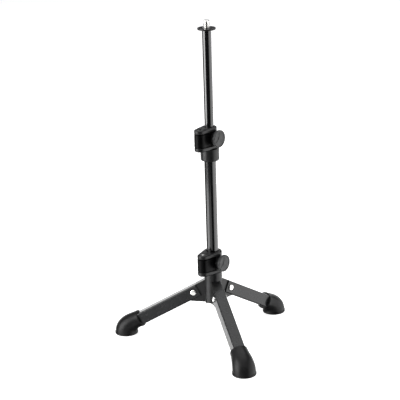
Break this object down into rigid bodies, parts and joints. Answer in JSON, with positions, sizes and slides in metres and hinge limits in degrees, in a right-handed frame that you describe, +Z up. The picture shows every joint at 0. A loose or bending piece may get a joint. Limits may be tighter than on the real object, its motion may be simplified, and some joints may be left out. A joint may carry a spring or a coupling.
{
  "type": "tabletop microphone stand",
  "caption": "Tabletop microphone stand: tripod base with folding legs and rubber feet, and a telescoping pole with clamp knobs and a threaded stud on top.",
  "frame": {"origin": "on the floor, under the axis of the pole", "axes": "+Z up along the pole; the front leg points along -Y, the others at 30 and 150 degrees from +X"},
  "size_m": [0.2644, 0.2335, 0.4675],
  "materials": {
    "moulded_plastic": "satin black moulding",
    "knob_plastic": "matte black moulding",
    "liner_plastic": "dark grey acetal",
    "black_enamel": "gloss black enamel on steel tube",
    "leg_enamel": "satin black enamel on steel tube",
    "foot_rubber": "matte black rubber",
    "bright_steel": "bright nickel plate",
    "brass_insert": "turned brass"
  },
  "bodies": {
    "hub": {"hub": "moulded_plastic", "hub_ring": "bright_steel", "hub_liner": "liner_plastic", "lower_clamp_body": "moulded_plastic", "lower_hinge_pin": "bright_steel", "lower_insert": "brass_insert", "pivot_rivets": "bright_steel"},
    "lower_pole": {"lower_tube": "black_enamel", "lower_tube_plug": "liner_plastic", "pole_liner": "liner_plastic", "upper_clamp_body": "moulded_plastic", "upper_hinge_pin": "bright_steel", "upper_insert": "brass_insert"},
    "upper_pole": {"upper_tube": "black_enamel", "upper_tube_guide": "liner_plastic", "stud_insert": "bright_steel", "top_disc": "moulded_plastic", "stud": "bright_steel"},
    "leg_front": {"leg_front": "leg_enamel", "pivot_bush_front": "liner_plastic", "foot_front": "foot_rubber"},
    "leg_right": {"leg_right": "leg_enamel", "pivot_bush_right": "liner_plastic", "foot_right": "foot_rubber"},
    "leg_left": {"leg_left": "leg_enamel", "pivot_bush_left": "liner_plastic", "foot_left": "foot_rubber"},
    "lower_jaw": {"lower_jaw": "moulded_plastic"},
    "lower_pad": {"lower_pad": "brass_insert"},
    "lower_knob": {"lower_knob": "knob_plastic", "lower_screw": "bright_steel"},
    "upper_jaw": {"upper_jaw": "moulded_plastic"},
    "upper_pad": {"upper_pad": "brass_insert"},
    "upper_knob": {"upper_knob": "knob_plastic", "upper_screw": "bright_steel"}
  },
  "joints": [
    {"name": "leg_front_fold", "type": "hinge", "parent": "hub", "child": "leg_front", "pos_m": [0, -0.028, 0.072], "axis": [1, 0, 0], "range_deg": [0, 60]},
    {"name": "leg_right_fold", "type": "hinge", "parent": "hub", "child": "leg_right", "pos_m": [0.02425, 0.014, 0.072], "axis": [-0.5, 0.866, 0], "range_deg": [0, 60]},
    {"name": "leg_left_fold", "type": "hinge", "parent": "hub", "child": "leg_left", "pos_m": [-0.02425, 0.014, 0.072], "axis": [-0.5, -0.866, 0], "range_deg": [0, 60]},
    {"name": "lower_pole_slide", "type": "slide", "parent": "hub", "child": "lower_pole", "axis": [0, 0, 1], "range_m": [-0.07, 0.01]},
    {"name": "upper_pole_slide", "type": "slide", "parent": "lower_pole", "child": "upper_pole", "axis": [0, 0, 1], "range_m": [-0.125, 0.015]},
    {"name": "lower_pad_slide", "type": "slide", "parent": "hub", "child": "lower_pad", "axis": [0.5736, -0.8192, 0], "range_m": [0, 0.0009]},
    {"name": "lower_knob_turn", "type": "hinge", "parent": "lower_pad", "child": "lower_knob", "pos_m": [0.00579, -0.00827, 0.11985], "axis": [0.5736, -0.8192, 0], "range_deg": [0, 320]},
    {"name": "lower_jaw_swing", "type": "hinge", "parent": "hub", "child": "lower_jaw", "pos_m": [-0.01802, -0.01262, 0.11985], "axis": [0, 0, -1], "range_deg": [0, 1.9]},
    {"name": "upper_pad_slide", "type": "slide", "parent": "lower_pole", "child": "upper_pad", "axis": [0.5736, -0.8192, 0], "range_m": [0, 0.0009]},
    {"name": "upper_knob_turn", "type": "hinge", "parent": "upper_pad", "child": "upper_knob", "pos_m": [0.00465, -0.00664, 0.30295], "axis": [0.5736, -0.8192, 0], "range_deg": [0, 320]},
    {"name": "upper_jaw_swing", "type": "hinge", "parent": "lower_pole", "child": "upper_jaw", "pos_m": [-0.0172, -0.01205, 0.30295], "axis": [0, 0, -1], "range_deg": [0, 1.9]}
  ],
  "couplings": [
    {"joint": "lower_pad_slide", "follows": "lower_knob_turn", "m_per_rad": 0.00015915},
    {"joint": "lower_jaw_swing", "follows": "lower_knob_turn", "ratio": 0.0058},
    {"joint": "upper_pad_slide", "follows": "upper_knob_turn", "m_per_rad": 0.00015915},
    {"joint": "upper_jaw_swing", "follows": "upper_knob_turn", "ratio": 0.0058}
  ]
}
